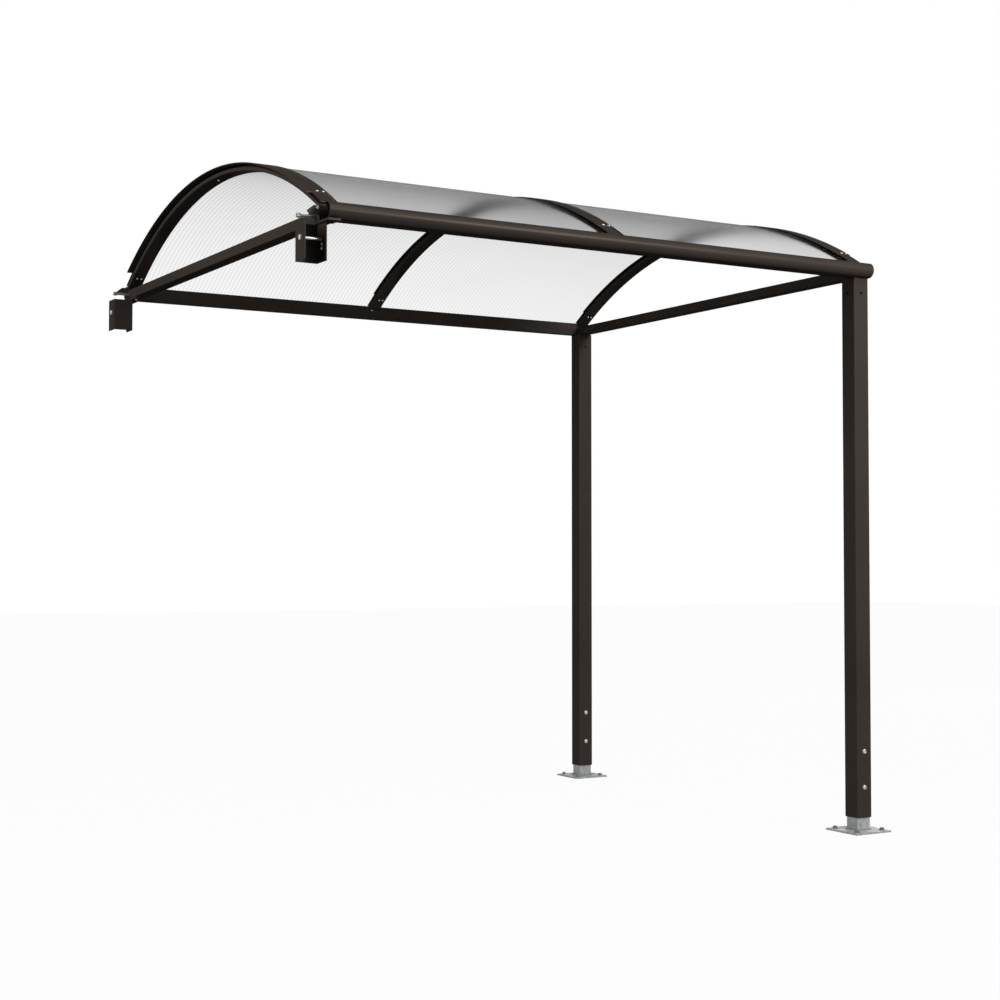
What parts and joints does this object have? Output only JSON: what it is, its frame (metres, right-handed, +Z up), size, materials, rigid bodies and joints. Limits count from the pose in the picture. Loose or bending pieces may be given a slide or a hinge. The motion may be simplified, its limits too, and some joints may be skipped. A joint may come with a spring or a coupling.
{
  "type": "cycle shelter extension bay",
  "caption": "Open barrel-roofed bike shelter bay: end posts on bolted base sockets, arched rafters with clear sheets, eaves gutters, and sleeves to join the next bay.",
  "frame": {"origin": "middle of the underside of the front base plate", "axes": "+X along the eaves towards the posts' end, +Y from the front to the rear, +Z up"},
  "size_m": [2.727, 2.377, 2.78],
  "materials": {
    "painted": "fine dark brown powder coat, satin",
    "galvanised": "hot-dip galvanised",
    "sheet": "clear twin-wall sheet with fine ribs",
    "fixings": "bright zinc-plated steel"
  },
  "bodies": {
    "root": {"front_post": "painted", "rear_post": "painted", "front_gutter": "painted", "rear_gutter": "painted", "front_gutter_cap": "painted", "rear_gutter_cap": "painted", "left_tie": "painted", "right_tie": "painted", "left_rafter": "painted", "middle_rafter": "painted", "right_rafter": "painted", "left_cover": "painted", "middle_cover": "painted", "right_cover": "painted", "front_sleeve": "painted", "rear_sleeve": "painted", "front_shoe": "painted", "rear_shoe": "painted", "front_splice_plate": "painted", "rear_splice_plate": "painted", "front_foot_bracket": "painted", "rear_foot_bracket": "painted", "front_base_plate": "galvanised", "rear_base_plate": "galvanised", "front_base_stub": "galvanised", "rear_base_stub": "galvanised", "left_roof_sheet": "sheet", "right_roof_sheet": "sheet", "front_post_bolts": "fixings", "rear_post_bolts": "fixings", "front_sleeve_bolt": "fixings", "rear_sleeve_bolt": "fixings", "front_joint_bolt": "fixings", "rear_joint_bolt": "fixings"}
  },
  "joints": []
}
